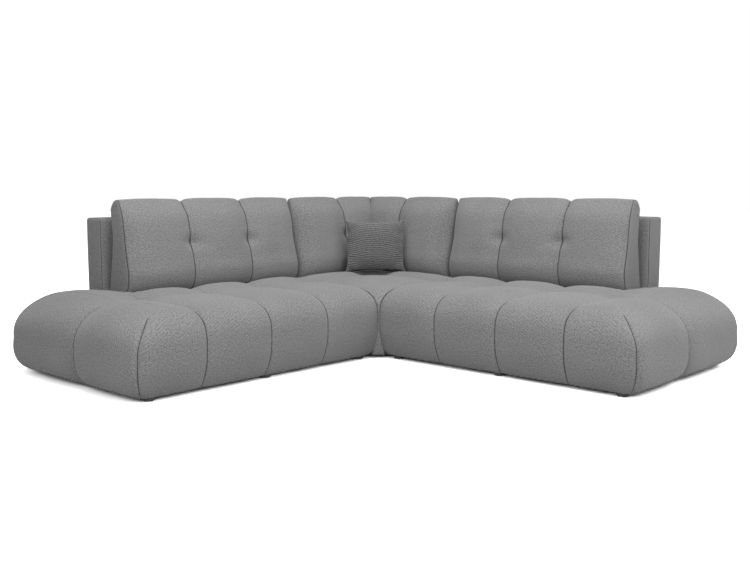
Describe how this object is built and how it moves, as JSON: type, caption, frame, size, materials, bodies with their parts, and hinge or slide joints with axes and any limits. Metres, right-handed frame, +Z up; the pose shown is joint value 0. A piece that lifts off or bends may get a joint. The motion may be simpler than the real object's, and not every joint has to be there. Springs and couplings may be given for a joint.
{
  "type": "corner sofa",
  "caption": "Armless L-shaped corner sofa with a low tufted seat, slim backs, channelled loose back cushions and a ribbed throw pillow.",
  "frame": {"origin": "on the floor, under the middle of the sofa's bounding box", "axes": "+Z up; one wing runs along +X at the back with its seat facing -Y, the other along -Y with its seat facing +X; the outer corner is at -X +Y"},
  "size_m": [2.7769, 2.7769, 0.9051],
  "materials": {
    "grey_weave": "matte",
    "pillow_fabric": "matte",
    "foam": "matte",
    "dust_cloth": "matte",
    "frame_wood": "matte",
    "plywood": "matte",
    "spring_steel": "satin",
    "zinc_steel": "satin",
    "black_steel": "satin",
    "glide_plastic": "matte",
    "zip_black": "matte"
  },
  "bodies": {
    "root": {"back_posts": "black_steel", "connector_plates": "black_steel", "corner_blocks": "frame_wood", "corner_cross_rail": "frame_wood", "corner_dust_cover": "dust_cloth", "corner_front_rail": "frame_wood", "corner_glides": "glide_plastic", "corner_inner_rail": "frame_wood", "corner_left_back_board": "plywood", "corner_left_back_panel": "grey_weave", "corner_rear_rail": "frame_wood", "corner_right_back_board": "plywood", "corner_right_back_panel": "grey_weave", "corner_seat_core": "foam", "corner_seat_pad": "grey_weave", "corner_side_rail": "frame_wood", "corner_springs": "spring_steel", "glide_screws": "zinc_steel", "left_back_board": "plywood", "left_back_panel": "grey_weave", "left_cross_rails": "frame_wood", "left_dust_cover": "dust_cloth", "left_end_rail": "frame_wood", "left_front_rail": "frame_wood", "left_glides": "glide_plastic", "left_joint_rail": "frame_wood", "left_rear_rail": "frame_wood", "left_seat_core": "foam", "left_seat_pad": "grey_weave", "left_springs": "spring_steel", "post_bolts": "zinc_steel", "right_back_board": "plywood", "right_back_panel": "grey_weave", "right_cross_rails": "frame_wood", "right_dust_cover": "dust_cloth", "right_end_rail": "frame_wood", "right_front_rail": "frame_wood", "right_glides": "glide_plastic", "right_joint_rail": "frame_wood", "right_rear_rail": "frame_wood", "right_seat_core": "foam", "right_seat_pad": "grey_weave", "right_springs": "spring_steel", "spring_clips": "zinc_steel"},
    "right_long_cushion": {"right_long_cushion_core": "foam", "right_long_cushion_cover": "grey_weave", "right_long_cushion_zip": "zip_black"},
    "left_long_cushion": {"left_long_cushion_core": "foam", "left_long_cushion_cover": "grey_weave", "left_long_cushion_zip": "zip_black"},
    "right_corner_cushion": {"right_corner_cushion_core": "foam", "right_corner_cushion_cover": "grey_weave", "right_corner_cushion_zip": "zip_black"},
    "left_corner_cushion": {"left_corner_cushion_core": "foam", "left_corner_cushion_cover": "grey_weave", "left_corner_cushion_zip": "zip_black"},
    "throw_pillow": {"throw_pillow_core": "foam", "throw_pillow_cover": "pillow_fabric", "throw_pillow_zip": "zip_black"}
  },
  "joints": [
    {"name": "right_long_cushion_lift", "type": "slide", "parent": "root", "child": "right_long_cushion", "axis": [0, 0, 1], "range_m": [0, 0.55]},
    {"name": "left_long_cushion_lift", "type": "slide", "parent": "root", "child": "left_long_cushion", "axis": [0, 0, 1], "range_m": [0, 0.55]},
    {"name": "right_corner_cushion_lift", "type": "slide", "parent": "root", "child": "right_corner_cushion", "axis": [0, 0, 1], "range_m": [0, 0.55]},
    {"name": "left_corner_cushion_lift", "type": "slide", "parent": "root", "child": "left_corner_cushion", "axis": [0, 0, 1], "range_m": [0, 0.55]},
    {"name": "throw_pillow_lift", "type": "slide", "parent": "root", "child": "throw_pillow", "axis": [0, 0, 1], "range_m": [0, 0.55]}
  ]
}
